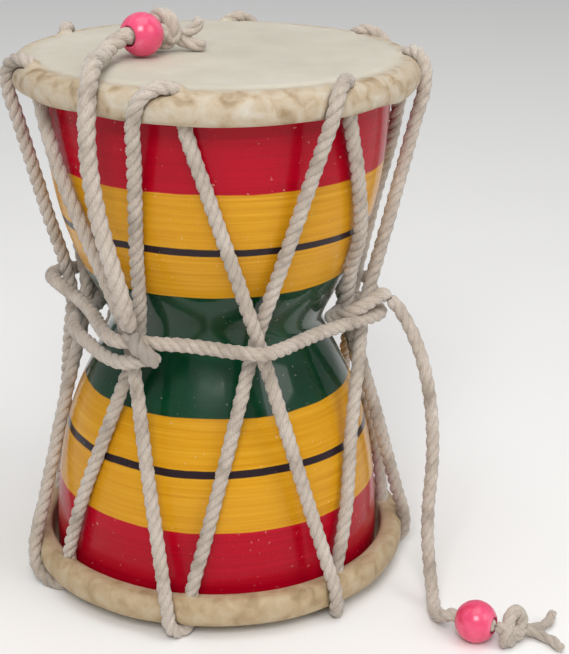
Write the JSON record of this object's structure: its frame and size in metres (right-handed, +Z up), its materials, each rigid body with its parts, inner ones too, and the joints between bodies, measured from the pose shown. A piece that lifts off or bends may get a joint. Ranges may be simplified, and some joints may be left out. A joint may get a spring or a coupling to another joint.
{
  "type": "hourglass hand drum",
  "caption": "Small rope-laced hourglass drum (damaru) with a rawhide head at each end, a banded wooden shell and bead strikers on cords.",
  "frame": {"origin": "on the drum's axis, at the surface that it stands on", "axes": "+Z up along the drum's axis, -Y towards the front; the left striker lies over the top head and the right one hangs to the surface"},
  "size_m": [0.1571, 0.1258, 0.1678],
  "materials": {
    "shell": "turned wood with gloss lacquer in red, yellow, green and black bands",
    "heads": "pale rawhide, matt",
    "rope": "twisted undyed cotton rope",
    "beads": "glossy pink plastic"
  },
  "bodies": {
    "root": {"drum_shell": "shell", "top_head": "heads", "bottom_head": "heads", "lacing_rope": "rope", "waist_cord": "rope", "striker_cord_left": "rope", "striker_cord_right": "rope", "bead_left": "beads", "bead_right": "beads", "end_knot_left": "rope", "end_knot_right": "rope"}
  },
  "joints": []
}
